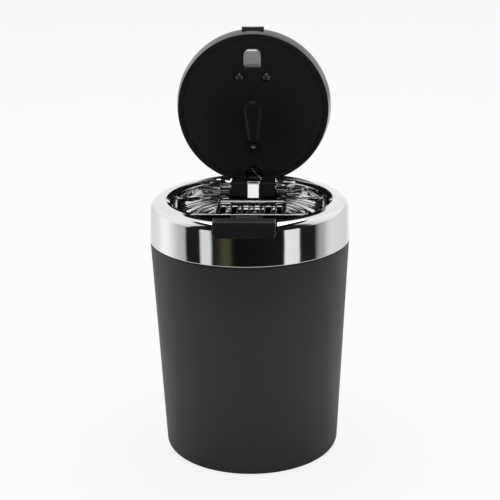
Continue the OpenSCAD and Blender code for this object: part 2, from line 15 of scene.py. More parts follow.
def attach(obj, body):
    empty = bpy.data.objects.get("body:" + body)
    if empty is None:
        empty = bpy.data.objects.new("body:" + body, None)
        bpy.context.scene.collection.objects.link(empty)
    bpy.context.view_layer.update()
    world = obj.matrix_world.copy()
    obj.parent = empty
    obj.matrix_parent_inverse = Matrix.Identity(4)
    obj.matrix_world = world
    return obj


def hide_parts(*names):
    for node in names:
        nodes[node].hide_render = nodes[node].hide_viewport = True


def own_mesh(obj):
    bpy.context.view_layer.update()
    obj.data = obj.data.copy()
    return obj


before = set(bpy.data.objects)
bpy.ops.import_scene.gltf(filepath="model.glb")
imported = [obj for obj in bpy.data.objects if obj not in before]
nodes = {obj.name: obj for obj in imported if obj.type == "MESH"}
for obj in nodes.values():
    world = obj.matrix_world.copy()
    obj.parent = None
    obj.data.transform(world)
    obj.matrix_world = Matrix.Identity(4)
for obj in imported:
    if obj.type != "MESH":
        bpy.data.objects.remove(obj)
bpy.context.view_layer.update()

# %% [markdown]
# ## Camera
#
# A long lens from a little over half a metre keeps the upright walls nearly parallel. It looks
# down by seventeen degrees, from slightly right of the button, and is rolled by under a degree.

# %% Camera
camera_data = bpy.data.cameras.new("camera")
camera_data.sensor_width, camera_data.lens = 36, 100.77
camera_data.clip_start, camera_data.clip_end = 0.05, 30
camera = bpy.data.objects.new("camera", camera_data)
bpy.context.scene.collection.objects.link(camera)
bpy.context.scene.camera = camera

CAMERA_AZIMUTH = math.radians(3.14)
CAMERA_ELEVATION = math.radians(17.125)
CAMERA_ROLL = math.radians(-0.723)
CAMERA_DISTANCE = 0.5621
seam_centre = Vector((0, 0, 0.089))
aim_point = Vector((0, 0, 0.08327))
camera.location = seam_centre + CAMERA_DISTANCE * Vector((
    math.cos(CAMERA_ELEVATION) * math.sin(CAMERA_AZIMUTH),
    -math.cos(CAMERA_ELEVATION) * math.cos(CAMERA_AZIMUTH),
    math.sin(CAMERA_ELEVATION)))
look = (aim_point - camera.location).to_track_quat("-Z", "Y")
camera.rotation_mode = "QUATERNION"
camera.rotation_quaternion = look @ Quaternion((0, 0, 1), CAMERA_ROLL)
print("camera at", [round(c, 4) for c in camera.location])

# %% [markdown]
# ## Shader maths in plain expressions
#
# Node trees get long because each sum or product is a node of its own. The small class below
# wraps an output socket, so that `1 - mask * 0.4` adds the Math nodes by itself. Every other node
# comes from one method, `node`, that takes the node's type, its settings and its inputs.

# %% Shader tools
class Sock:
    """An output socket that understands + - * and /, with numbers or other sockets."""

    def __init__(self, shader, socket):
        self.shader = shader
        self.socket = socket

    def math(self, operation, *others):
        values = {0: self, **{i + 1: other for i, other in enumerate(others)}}
        return self.shader.node("ShaderNodeMath", values, operation=operation)

    def __add__(self, other): return self.math("ADD", other)
    def __radd__(self, other): return self.math("ADD", other)
    def __mul__(self, other): return self.math("MULTIPLY", other)
    def __rmul__(self, other): return self.math("MULTIPLY", other)
    def __sub__(self, other): return self.math("SUBTRACT", other)
    def __truediv__(self, other): return self.math("DIVIDE", other)
    def __rsub__(self, other): return (self * -1.0) + other
    def clamp(self): return self.math("MAXIMUM", 0.0).math("MINIMUM", 1.0)


class Tree:
    """A node tree that is built from expressions."""

    def __init__(self, tree):
        self.tree = tree

    def node(self, kind, inputs=None, out=0, stops=None, **settings):
        """Makes a node, sets it up, fills or links its inputs, and gives its output."""
        made = self.tree.nodes.new(kind)
        for key, value in settings.items():
            setattr(made, key, value)
        if stops:
            ramp = made.color_ramp
            for spare in list(ramp.elements)[1:]:
                ramp.elements.remove(spare)
            ramp.elements[0].position, ramp.elements[0].color = stops[0]
            for position, color in stops[1:]:
                ramp.elements.new(position).color = color
        for key, value in (inputs or {}).items():
            self.plug(made.inputs[key], value)
        return Sock(self, made.outputs[out])

    def plug(self, target, value):
        if isinstance(value, Sock):
            self.tree.links.new(value.socket, target)
        else:
            target.default_value = value

    def noise(self, where, scale, detail=2.0, roughness=0.5):
        return self.node("ShaderNodeTexNoise", {
            "Vector": where, "Scale": scale, "Detail": detail, "Roughness": roughness}, out="Fac")

    def ramp(self, value, *stops):
        return self.node("ShaderNodeValToRGB", {"Fac": value}, out="Color",
                         stops=[(p, (*c, 1.0)) for p, c in stops])

    def fit(self, value, low, high, to_low, to_high):
        """Maps a value from one range to another, smoothly and clamped."""
        return self.node("ShaderNodeMapRange", {
            "Value": value, "From Min": low, "From Max": high,
            "To Min": to_low, "To Max": to_high}, interpolation_type="SMOOTHSTEP")

    def mix(self, fac, a, b):
        made = self.tree.nodes.new("ShaderNodeMix")
        made.data_type = "RGBA"
        self.plug(made.inputs[0], fac)
        self.plug(made.inputs[6], a)
        self.plug(made.inputs[7], b)
        return Sock(self, made.outputs[2])

    def bump(self, height, distance, strength=1.0, normal=None):
        inputs = {"Height": height, "Distance": distance, "Strength": strength}
        if normal is not None:
            inputs["Normal"] = normal
        return self.node("ShaderNodeBump", inputs, out="Normal")


class Shader(Tree):
    """A material's node tree."""

    def __init__(self, name):
        self.material = bpy.data.materials.new(name)
        self.material.use_nodes = True
        super().__init__(self.material.node_tree)
        self.bsdf = self.tree.nodes["Principled BSDF"]
        self.output = self.tree.nodes["Material Output"]

    def place(self):
        """Object coordinates, in metres."""
        return self.node("ShaderNodeTexCoord", out="Object")

    def set(self, **inputs):
        for key, value in inputs.items():
            self.plug(self.bsdf.inputs[key.replace("_", " ")], value)
        return self.material


print("shader tools ready")

# %% [markdown]
# ## Shapes in mesh code
#
# Most pieces of the bin are turned or pushed outlines. Both start from corners that carry their
# own radius, because a real moulded edge is never sharp: the small radius catches the light.
# Openings are cut with exact booleans, which keeps the curved faces beside them smooth.

# %% Outlines with rounded corners
MM = 0.001


def rounded(corners, steps=6):
    """Points of an outline whose corners are (a, b, radius), in millimetres."""
    points = []
    for i, (a, b, radius) in enumerate(corners):
        here = Vector((a, b))
        if not radius:
            points.append(here)
            continue
        back = (Vector(corners[i - 1][:2]) - here).normalized()
        ahead = (Vector(corners[(i + 1) % len(corners)][:2]) - here).normalized()
        half = back.angle(ahead) / 2
        centre = here + (back + ahead).normalized() * radius / math.sin(half)
        start = here + back * radius / math.tan(half) - centre
        end = here + ahead * radius / math.tan(half) - centre
        first = math.atan2(start.y, start.x)
        sweep = math.remainder(math.atan2(end.y, end.x) - first, math.tau)
        for k in range(steps + 1):
            angle = first + sweep * k / steps
            points.append(centre + radius * Vector((math.cos(angle), math.sin(angle))))
    return points


def arc_points(centre, radius, start, end, steps):
    """Points of an arc between two angles in degrees."""
    return [Vector(centre) + radius * Vector((math.cos(a), math.sin(a)))
            for a in (math.radians(start + (end - start) * k / steps) for k in range(steps + 1))]


def clean(mesh):
    """Merges points that coincide and turns all faces outwards."""
    work = bmesh.new()
    work.from_mesh(mesh)
    bmesh.ops.remove_doubles(work, verts=work.verts, dist=1e-7)
    bmesh.ops.recalc_face_normals(work, faces=work.faces)
    work.to_mesh(mesh)
    work.free()


def as_piece(name, mesh):
    """Gives a closed mesh an object at the origin."""
    clean(mesh)
    piece = bpy.data.objects.new(name, mesh)
    bpy.context.scene.collection.objects.link(piece)
    return piece


def turned(name, outline, segments=256, closed=True):
    """Sweeps an outline of (radius, height) round Z. An open outline ends on the axis."""
    mesh = bpy.data.meshes.new(name)
    rows = len(outline)
    vertices = []
    for j in range(segments):
        angle = math.tau * j / segments
        vertices += [(p.x * math.cos(angle) * MM, p.x * math.sin(angle) * MM, p.y * MM)
                     for p in outline]
    faces = []
    for j in range(segments):
        here, ahead = j * rows, ((j + 1) % segments) * rows
        for i in range(rows if closed else rows - 1):
            k = (i + 1) % rows
            faces.append((here + i, ahead + i, ahead + k, here + k))
    mesh.from_pydata(vertices, [], faces)
    return as_piece(name, mesh)


def pushed(name, outline, axis, low, high):
    """Pushes an outline along an axis. It lies in the plane of the two others, in their order."""
    mesh = bpy.data.meshes.new(name)
    put = {"x": lambda p, h: (h, p.x, p.y), "y": lambda p, h: (p.x, h, p.y),
           "z": lambda p, h: (p.x, p.y, h)}[axis]
    n = len(outline)
    vertices = [tuple(c * MM for c in put(p, h)) for h in (low, high) for p in outline]
    faces = [tuple(range(n)), tuple(range(2 * n - 1, n - 1, -1))]
    faces += [(i, (i + 1) % n, n + (i + 1) % n, n + i) for i in range(n)]
    mesh.from_pydata(vertices, [], faces)
    return as_piece(name, mesh)


def block(name, low, high):
    """A plain box, used only as a cutter."""
    (x0, y0, z0), (x1, y1, z1) = low, high
    return pushed(name, [Vector(c) for c in ((x0, y0), (x1, y0), (x1, y1), (x0, y1))], "z", z0, z1)


def settle(piece):
    """Turns a piece and its modifiers into a plain mesh."""
    graph = bpy.context.evaluated_depsgraph_get()
    mesh = bpy.data.meshes.new_from_object(piece.evaluated_get(graph))
    piece.modifiers.clear()
    piece.data = mesh
    return piece


def carve(piece, *others, operation="DIFFERENCE"):
    """Cuts the others out of a piece, or joins them to it, and removes them."""
    for other in others:
        cut = piece.modifiers.new("cut", "BOOLEAN")
        cut.operation = operation
        cut.solver = "MANIFOLD"
        cut.object = other
        settle(piece)
        bpy.data.objects.remove(other)
    return piece


def join(piece, *others):
    """Joins the others to a piece."""
    return carve(piece, *others, operation="UNION")


def moved(piece, matrix):
    """Moves a piece by changing its mesh, so that its object stays at the origin."""
    piece.data.transform(matrix)
    return piece


def finish(piece, material, body, slot, *replaced, sharp=32):
    """Smooths a piece up to its sharp edges, paints it, and ties it to its CAD body."""
    mesh = piece.data
    mesh.materials.clear()
    mesh.materials.append(material)
    mesh.polygons.foreach_set("use_smooth", [True] * len(mesh.polygons))
    mesh.polygons.foreach_set("material_index", [0] * len(mesh.polygons))
    mesh.set_sharp_from_angle(angle=math.radians(sharp))
    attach(piece, body)
    if replaced:
        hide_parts(*replaced)
    corners = [piece.matrix_world @ v.co for v in mesh.vertices]
    size = [round(1000 * (max(c[i] for c in corners) - min(c[i] for c in corners)), 2)
            for i in range(3)]
    print(piece.name, "faces", len(mesh.polygons), "size in mm", size)
    return piece


print("shape tools ready")

# %% [markdown]
# ## Moulded black plastic of the cup
#
# The cup is injection moulded with a very fine spark-eroded grain. It is black, yet it looks grey
# towards its edges, because the grain spreads the pale room's reflection at grazing angles.

# %% Cup plastic
PLASTIC_IOR = 1.5


def moulded_plastic(name, color, rough, grain_scale, grain_depth):
    shader = Shader(name)
    where = shader.place()
    cloud = shader.noise(where, 38.0, detail=3.0)
    grain = shader.noise(where, grain_scale, detail=2.0, roughness=0.6)
    tone = shader.ramp(cloud, (0.3, [c * 0.9 for c in color]), (0.7, [c * 1.1 for c in color]))
    roughness = shader.fit(cloud, 0.3, 0.7, rough - 0.03, rough + 0.03) + (grain - 0.5) * 0.08
    return shader.set(Base_Color=tone, Roughness=roughness, IOR=PLASTIC_IOR,
                      Normal=shader.bump(grain, grain_depth))


cup_plastic = moulded_plastic("cup_plastic", (0.012, 0.012, 0.0125), 0.5, 5200.0, 0.00002)
collar_plastic = moulded_plastic("collar_plastic", (0.012, 0.012, 0.012), 0.4, 3000.0, 0.00002)
button_plastic = moulded_plastic("button_plastic", (0.010, 0.010, 0.011), 0.33, 6000.0, 0.000012)
print("made", cup_plastic.name, collar_plastic.name, button_plastic.name)

# %% [markdown]
# ## Chrome and bare metals
#
# The ring and the grille are plated plastic: a mirror with faint ripples from the moulding under
# it, and with thin smudges. The same recipe in other colours and widths of highlight makes the
# steel, zinc, nickel and contact metal, since bare metals differ in little else.

# %% Chrome
def chrome(name, color=(0.88, 0.885, 0.9), rough=0.035):
    shader = Shader(name)
    where = shader.place()
    smudge = shader.noise(where, 55.0, detail=4.0, roughness=0.6)
    ripple = shader.noise(where, 120.0, detail=1.0)
    roughness = shader.fit(smudge, 0.35, 0.75, rough, rough + 0.05)
    tone = shader.ramp(smudge, (0.3, color), (0.8, [c * 0.95 for c in color]))
    return shader.set(Base_Color=tone, Roughness=roughness, Metallic=1.0,
                      Normal=shader.bump(ripple, 0.00003))


chrome_plate = chrome("polished_chrome")
steel = chrome("drawn_steel", (0.62, 0.62, 0.63), 0.22)
dark_zinc = chrome("dark_zinc", (0.16, 0.16, 0.165), 0.25)
nickel = chrome("satin_nickel", (0.8, 0.8, 0.81), 0.42)
brass = chrome("contact_metal", (0.72, 0.64, 0.46), 0.25)
print("made", *[m.name for m in (chrome_plate, steel, dark_zinc, nickel, brass)])

# %% [markdown]
# ## Polished black, lacquer and clear epoxy
#
# The lid's cap comes from a polished tool: a deep black that mirrors the room, with a slight haze
# from wiping. The panel inside is duller. The lacquered board and the clear lamp are smooth
# dielectrics too, so one recipe makes them all, with the odd constant set on the shader itself.

# %% Polished black
def polished_plastic(name, color, rough, **constants):
    shader = Shader(name)
    where = shader.place()
    haze = shader.noise(where, 45.0, detail=4.0, roughness=0.6)
    wave = shader.noise(where, 60.0, detail=1.0)
    roughness = shader.fit(haze, 0.35, 0.75, rough, rough + 0.07)
    tone = shader.ramp(haze, (0.3, color), (0.8, [c * 1.25 for c in color]))
    return shader.set(Base_Color=tone, Roughness=roughness, IOR=PLASTIC_IOR,
                      Normal=shader.bump(wave, 0.00002), **constants)


lid_black = polished_plastic("gloss_black", (0.006, 0.006, 0.0065), 0.14)
satin_black = polished_plastic("satin_black", (0.0055, 0.0055, 0.0057), 0.42,
                               Specular_IOR_Level=0.3)
board_green = polished_plastic("board_lacquer", (0.03, 0.14, 0.06), 0.3)
lamp_clear = polished_plastic("clear_epoxy", (0.9, 0.93, 0.95), 0.05, Transmission_Weight=1.0)
print("made", *[m.name for m in (lid_black, satin_black, board_green, lamp_clear)])

# %% [markdown]
# ## Finishes of the CAD nodes
#
# The parts that stay hidden, such as the collar, the board and the cell, are shown as they are
# packed. Every node gets the finish of its real material, also where a finer piece stands for it.

# %% Finishes of the CAD nodes
finishes = {
    "outer_cup": cup_plastic, "chrome_ring": chrome_plate, "plug_collar": collar_plastic,
    "collar_screws": steel, "ash_grille": chrome_plate, "hinge_pin": steel,
    "lid_shell": lid_black, "lid_panel": lid_black, "latch_hook": nickel, "lid_screws": steel,
    "lid_spring": steel, "led_lamp": lamp_clear, "circuit_board": board_green,
    "coin_cell": steel, "battery_clip": brass, "battery_contact": brass, "tilt_switch": steel,
    "push_button": button_plastic, "latch_slide": button_plastic, "button_springs": steel}
for name, material in finishes.items():
    mesh = nodes[name].data
    mesh.materials.clear()
    mesh.materials.append(material)
print("finished", len(finishes), "CAD nodes")

# %% [markdown]
# ## Chrome ring
#
# The ring is a plated moulding: a nearly upright outer wall, a round shoulder, a flat top, a
# narrow seat for the lid, and an upright wall down to the grille. It is turned from one outline
# with many segments, because a mirror shows every facet. A solid boss at the rear holds the hinge.

# %% Ring, turned
ring_outline = rounded([
    (40.0, 89.0, 0.3), (39.348, 105.3, 3.8), (33.05, 105.3, 0.16), (33.05, 104.95, 0.15),
    (31.62, 103.86, 0.5), (31.6, 97.2, 0.12), (33.0, 97.2, 0.1), (33.9, 103.4, 0.3),
    (35.9, 103.6, 0.3), (37.9, 101.5, 0.5), (38.3, 97.0, 1.0), (38.3, 89.0, 0.15)], steps=8)
ring = turned("chrome_ring_look", ring_outline, segments=320)

boss = turned("boss", rounded([
    (33.1, 95.4, 0.2), (38.9, 95.4, 0), (38.9, 101.5, 0), (36.2, 104.4, 0), (33.6, 104.4, 0),
    (32.5, 103.4, 0), (32.3, 97.7, 0), (33.1, 97.2, 0)]), segments=320)
carve(boss, block("boss_bounds", (-13.6, 20, 90), (13.6, 42, 108)), operation="INTERSECT")
join(ring, boss)
print("ring faces:", len(ring.data.polygons))

# %% [markdown]
# ## Openings of the ring
#
# The rear has a pocket for the hinge, a scoop for the open lid and a saddle along the path of
# the lid's edge. That path is a shape turned about the hinge axis, so the saddle is a block less
# that shape. The front has the button's notch. A narrow post in the pocket steadies the hinge.
# Two matrices stand pieces up where they belong: one on the open lid, one on the hinge axis.

# %% Ring, cut
HINGE_Y, HINGE_Z = 32.8, 100.5
HINGE = Vector((0, HINGE_Y, HINGE_Z))
LID_Y, LID_Z = 36, 133.3
LID = Vector((0, LID_Y, LID_Z))
LID_RADIUS, RIM_BEHIND, RIM_GAP = 31.4, 3.2, 0.3
ON_LID = Matrix.Translation(LID * MM) @ Matrix.Rotation(-math.pi / 2, 4, "X")
ON_HINGE = Matrix.Translation(HINGE * MM) @ Matrix.Rotation(math.pi / 2, 4, "Y")


def free_radius(x):
    """How far from the hinge axis the lid's rim passes, less a small gap."""
    reach = HINGE.y - math.sqrt(max(LID_RADIUS ** 2 - x * x, 0))
    return math.hypot(reach, RIM_BEHIND) - RIM_GAP


pocket = pushed("pocket", rounded([
    (-9.6, 24, 0), (9.6, 24, 0), (9.6, 37.4, 0.8), (-9.6, 37.4, 0.8)]), "z", 94.3, 108)
scoop = moved(turned("scoop", [Vector((0, -0.3)), Vector((33.1, -0.3)), Vector((33.1, 12)),
                               Vector((0, 12))], segments=320, closed=False), ON_LID)
sweep_line = [Vector((free_radius(x), x)) for x in (28 * (k / 56 - 1) for k in range(113))]
spindle = moved(turned("spindle", [Vector((0, -29)), *sweep_line, Vector((0, 29))],
                       segments=180, closed=False), ON_HINGE)
saddle = join(block("saddle", (-27.9, 16, 103.5), (27.9, 36.2, 108.5)),
              block("saddle_rear", (-27.9, HINGE_Y, HINGE_Z), (27.9, 36.2, 105)))
carve(saddle, spindle)
notch = pushed("notch", rounded([
    (-12.3, 100.2, 1.5), (12.3, 100.2, 1.5), (12.3, 108, 0), (-12.3, 108, 0)]), "y", -44, -26)
carve(ring, pocket, scoop, saddle, notch)

post = pushed("post", rounded([
    (29.2, 95.4, 0), (38.8, 95.4, 0), (38.8, 97.6, 0.5), (35.4, 99.0, 1.5), (34.8, 102.5, 0.8),
    (31.4, 102.5, 0.6), (29.2, 96.4, 0)]), "x", -2.3, 2.3)
foot = pushed("foot", rounded([
    (-3.1, 27.8, 0.3), (3.1, 27.8, 0.3), (3.1, 28.9, 0.3), (2.3, 29.1, 0), (2.3, 30.0, 0),
    (-2.3, 30.0, 0), (-2.3, 29.1, 0), (-3.1, 28.9, 0.3)]), "z", 95.4, 96.9)
join(post, foot)
join(ring, post)
finish(ring, chrome_plate, "head", "chrome_plate", "chrome_ring")

# %% [markdown]
# ## More shape tools
#
# A loft joins outlines of the same number of points, and closes both ends. It makes raised
# mouldings with a rounded edge, and cutters that flare at the top: a hole cut with a flared
# cutter gets the soft lip of a moulded and plated part. Shapes on the open lid are drawn on its
# face: x across, v upwards from its centre, and w backwards into its thickness.

# %% Lofts, and the lid's own plane
def lofted(name, rings):
    """Joins rings of equal length, given in millimetres."""
    mesh = bpy.data.meshes.new(name)
    n = len(rings[0])
    vertices = [tuple(c * MM for c in point) for ring in rings for point in ring]
    faces = [tuple(range(n - 1, -1, -1)), tuple(range(len(vertices) - n, len(vertices)))]
    for j in range(len(rings) - 1):
        a, b = j * n, (j + 1) * n
        faces += [(a + i, a + (i + 1) % n, b + (i + 1) % n, b + i) for i in range(n)]
    mesh.from_pydata(vertices, [], faces)
    return as_piece(name, mesh)


def rounded_box(low, high, corner, grow):
    """Outline of a box with rounded corners, made larger on all sides by `grow`."""
    r = max(corner + grow, 0.02)
    x0, y0, x1, y1 = low[0] - grow, low[1] - grow, high[0] + grow, high[1] + grow
    return rounded([(x0, y0, r), (x1, y0, r), (x1, y1, r), (x0, y1, r)], steps=5)


def upright_box(half, low, high, low_radius, high_radius, steps=8):
    """Outline of a box about the centre line, with its own radius at the bottom and the top."""
    return rounded([(-half, low, low_radius), (half, low, low_radius),
                    (half, high, high_radius), (-half, high, high_radius)], steps)


def disc_outline(x, v, radius, steps=40):
    """Outline of a round hole as a function of its growth."""
    return lambda grow: arc_points((x, v), radius + grow, 0, 360, steps)[:-1]


def edge_levels(start, end, radius, outwards, steps=5):
    """Pairs (height, growth) of a wall from `start` to `end` with a rounded edge at the end."""
    sign = 1 if end > start else -1
    bend = radius if outwards else -radius
    levels = [(start, 0.0)]
    for a in (math.pi / 2 * k / steps for k in range(steps + 1)):
        levels.append((end - sign * radius * (1 - math.sin(a)), bend * (1 - math.cos(a))))
    if outwards:
        levels.append((end + sign * 1.0, radius))
    return levels


def raised(name, outline, levels):
    """A loft along Z. `outline` gives the points for a growth, `levels` the heights."""
    return lofted(name, [[(p.x, p.y, height) for p in outline(grow)] for height, grow in levels])


def on_lid(outline, w):
    """Points of an outline (x, v) at a depth w in the open lid."""
    return [(p.x, LID_Y + w, LID_Z + p.y) for p in outline]


def across_lid(name, corners, half, steps=6):
    """Pushes an outline of corners (w, v, radius) across the open lid."""
    return pushed(name, rounded([(LID_Y + w, LID_Z + v, r) for w, v, r in corners], steps),
                  "x", -half, half)


print("loft tools ready")

# %% [markdown]
# ## Cup
#
# A tapered black moulding, a little over two millimetres thick, with a rounded foot and a small
# chamfer at the rim, where it meets the chrome ring in a fine dark seam.

# %% Cup, turned
cup_outline = rounded([
    (0, 0, 0), (35.2, 0.0, 3.4), (39.8, 88.7, 0.45), (37.5, 88.7, 0.35), (37.5, 78.7, 0.3),
    (37.35, 78.1, 0.3), (33.0, 2.4, 3.0), (0, 2.4, 0)], steps=10)
cup = turned("outer_cup_look", cup_outline, segments=256, closed=False)
finish(cup, cup_plastic, "cup", "cup_black", "outer_cup")

# %% [markdown]
# ## Lid shell
#
# The outer cap of the lid is a polished black moulding with a gently crowned top, a soft outer
# edge and a wall that draws in towards its rim, as a mould needs. A small thumb lip stands out
# at the front, and the wall is cut away at the hinge block.

# %% Lid shell
crown = [(r, 8.6 + 0.6 * (1 - (r / 31.1) ** 2), 0) for r in (0, 4, 8, 12, 16, 20, 24, 27.5)]
shell_outline = rounded(crown + [
    (32.75, 8.6, 1.7), (LID_RADIUS, 0.0, 0.15), (31.05, 0.0, 0.08), (31.05, 1.85, 0),
    (29.6, 1.85, 0), (29.6, 5.8, 0), (28.6, 6.8, 0.4), (0, 7.3, 0)], steps=8)
shell = moved(turned("lid_shell_look", shell_outline, segments=320, closed=False), ON_LID)
join(shell, across_lid("lip", [
    (6.0, 31.1, 0), (6.0, 33.3, 0.4), (8.5, 33.3, 0.5), (8.5, 31.1, 0)], 4.6))
carve(shell, block("gap", (-9.5, 35, 100), (9.5, 37.85, 120)))
finish(shell, lid_black, "lid", "lid_black", "lid_shell")

# %% [markdown]
# ## Lid panel
#
# The inner panel is a flat satin disc. It carries a raised keyhole-shaped moulding, the seat
# of the lamp, two screw recesses, the window of the latch hook, a round hole that shows the
# spring's leg, and the thick hinge block with its slot for the ring's post.

# %% Panel disc and its mouldings
panel_disc = moved(turned("lid_panel_look", rounded([
    (0, 0, 0), (28.9, 0.0, 0.06), (28.9, 0.2, 0.06), (29.3, 0.2, 0.06), (29.3, 0.0, 0.06),
    (30.95, 0.0, 0.12), (30.95, 1.8, 0), (0, 1.8, 0)], steps=3),
    segments=320, closed=False), ON_LID)


def keyhole(grow):
    """Outline of the moulding: a round head, straight flanks and a smaller round tail."""
    head, tail = 3.95 + grow, 2.45 + grow
    return arc_points((0, -0.3), head, 0, 180, 28) + arc_points((0, -11.9), tail, 180, 360, 16)


moulding = lofted("moulding", [on_lid(keyhole(grow), w) for w, grow in (
    (0.5, 0), (-0.1, 0), (-0.25, -0.1), (-0.85, -0.7), (-1.1, -1.05), (-1.2, -1.4))])
LAMP_V = -16
ON_LAMP = ON_LID @ Matrix.Translation((0, -LAMP_V * MM, 0))
bezel = moved(turned("bezel", rounded([
    (1.4, 0.5, 0), (2.7, 0.5, 0), (2.7, -0.5, 0.25), (2.05, -0.5, 0.1), (2.05, 0.2, 0),
    (1.4, 0.2, 0)], steps=4), segments=64), ON_LAMP)
hinge_block = pushed("hinge_block", rounded([
    (29.4, 96.2, 1.8), (33.6, 96.35, 1.2), (36.6, 98.6, 2.2), (36.9, 106.0, 0), (36.1, 106.0, 0),
    (36.0, 103.4, 0), (29.4, 103.4, 0.8)], steps=8), "x", -9.2, 9.2)
join(panel_disc, moulding, hinge_block)
print("panel faces:", len(panel_disc.data.polygons))

# %% [markdown]
# ## Openings of the panel
#
# Window, lamp seat and screw recesses are cut through the face with flared cutters, so each has
# the small radius of a moulded edge. Inside the hinge block are the bore of the pin, the room of
# the spring's coil, and grooves for its two legs. The lamp's bezel is added last.

# %% Panel openings
SCREW_X, SCREW_V = 5.7, 13.5


def window_outline(grow):
    return upright_box(3.75 + grow, 17.3 - grow, 25.6 + grow, 0.15, 2.6 + grow)


def lid_cutter(name, outline, deep, radius):
    """A cutter from depth `deep` out through the face, which leaves a soft edge of `radius`."""
    return lofted(name, [on_lid(outline(grow), w)
                         for w, grow in edge_levels(deep, 0.0, radius, True, 3)])


def at_screw(side, radius):
    """Outline of a round hole where a screw of the lid goes."""
    return disc_outline(side * SCREW_X, SCREW_V, radius)


carve(panel_disc, lid_cutter("window", window_outline, 2.6, 0.3),
      lid_cutter("lamp_seat", disc_outline(0, LAMP_V, 2.9), 0.6, 0.25),
      lid_cutter("lamp_hole", disc_outline(0, LAMP_V, 1.55), 3.0, 0.02))
for side in (-1, 1):
    carve(panel_disc, lid_cutter("recess", at_screw(side, 2.0), 0.9, 0.08),
          lid_cutter("screw_hole", at_screw(side, 1.1), 3.0, 0.02))
round_hole = lofted("round_hole", [[(p.x, y, p.y) for p in disc_outline(0, 105.5, 3.45, 64)(grow)]
                                   for y, grow in ((40, 0), (36.2, 0), (35.9, 0.25), (26, 0.25))])
slot = pushed("slot", rounded([(26, 94, 0), (40, 94, 0), (40, 103.4, 0), (26, 103.4, 0)]),
              "x", -2.6, 2.6)


def hinge_bore(name, radius, low, high):
    """A cutter about the hinge axis, between two places along it."""
    return moved(turned(name, [Vector(c) for c in (
        (0, low), (radius, low), (radius, high), (0, high))], segments=48, closed=False), ON_HINGE)


carve(panel_disc, round_hole, slot, hinge_bore("coil_bore", 2.35, 2.55, 6.8),
      hinge_bore("pin_bore", 1.05, -12, 12),
      block("leg_slice", (5.7, 30.45, 94), (6.7, 38.45, 100.5)),
      block("leg_groove", (2.55, 34.0, 100.5), (3.8, 37.9, 105.5)))
join(panel_disc, bezel)
finish(panel_disc, satin_black, "lid", "lid_black", "lid_panel")

# %% [markdown]
# ## Latch hook
#
# A strip of bright sheet metal behind the window is bent forwards through it and down again. Its
# rounded bend shows as a bright arch at the top of the window. The free edge is hollowed, and is
# what the button's frame catches.

# %% Hook
HOOK_TIP, HOOK_TOP = 19.1, 25.35
hook = across_lid("latch_hook_look", [
    (1.9, 11.5, 0), (1.9, 24.45, 0.6), (-1.9, 24.45, 0.6), (-1.9, HOOK_TIP, 0.12),
    (-2.8, HOOK_TIP, 0.25), (-2.8, HOOK_TOP, 1.0), (2.8, HOOK_TOP, 0.5), (2.8, 11.5, 0)], 4)
hook_outline = upright_box(3.5, 5.0, HOOK_TOP, 0.1, 2.35)
carve(hook, lofted("hook_bounds", [on_lid(hook_outline, w) for w in (-4, 4)]),
      operation="INTERSECT")
join(hook, block("ears", (-8, 37.9, LID_Z + 11.5), (8, 38.8, LID_Z + 15.5)))
hollow_outline = disc_outline(0, HOOK_TIP - 8.4, 9.0, 96)(0)
carve(hook, lofted("hollow", [on_lid(hollow_outline, w) for w in (-5, -0.6)]))
for side in (-1, 1):
    carve(hook, lid_cutter("ear_hole", at_screw(side, 1.1), 5.0, 0.02))
finish(hook, nickel, "lid", "hook_metal", "latch_hook", sharp=28)

# %% [markdown]
# ## Push button
#
# The button is a matt black block in the notch at the front. Its front face is very slightly
# dished, its lower corners are rounded, and a thin curved flange behind it keeps it in the ring.

# %% Button
def button_outline(grow):
    return upright_box(11.8 + grow, 100.6 - grow, 106.95 + grow, 1.3 + grow, 0.5 + grow, steps=6)


button = lofted("push_button_look", [
    [(p.x, y, p.y) for p in button_outline(grow)]
    for y, grow in [(-35.0, -0.2), (-35.2, 0.0)] + edge_levels(-36.0, -41.0, 0.45, False)])
dish = moved(turned("dish", [Vector(c) for c in (
    (0, -10.9), (60, -10.9), (60, 10.9), (0, 10.9))], segments=720, closed=False),
    Matrix.Translation(Vector((0, -100.65, 103.475)) * MM) @ Matrix.Rotation(math.pi / 2, 4, "Y"))
carve(button, dish)
flange = turned("flange", rounded([
    (36.3, 97.6, 0.2), (37.55, 97.6, 0.2), (37.55, 101.3, 0.2), (36.3, 101.3, 0.2)], steps=3),
    segments=320)
carve(flange, block("flange_bounds", (-13.6, -40, 90), (13.6, -20, 108)), operation="INTERSECT")
join(button, flange)
carve(button, block("root_room", (-6.25, -37.05, 101.95), (6.25, -34, 103.25)))
finish(button, button_plastic, "button", "button_black", "push_button")

# %% [markdown]
# ## Geometry nodes for wires and repeated parts
#
# Two node trees serve several pieces. One sweeps a round wire along a path and rounds its
# corners: the springs, the curved ribs and the lamp's leads. The other repeats one part in rows
# and columns: the comb's slots and all the screws.

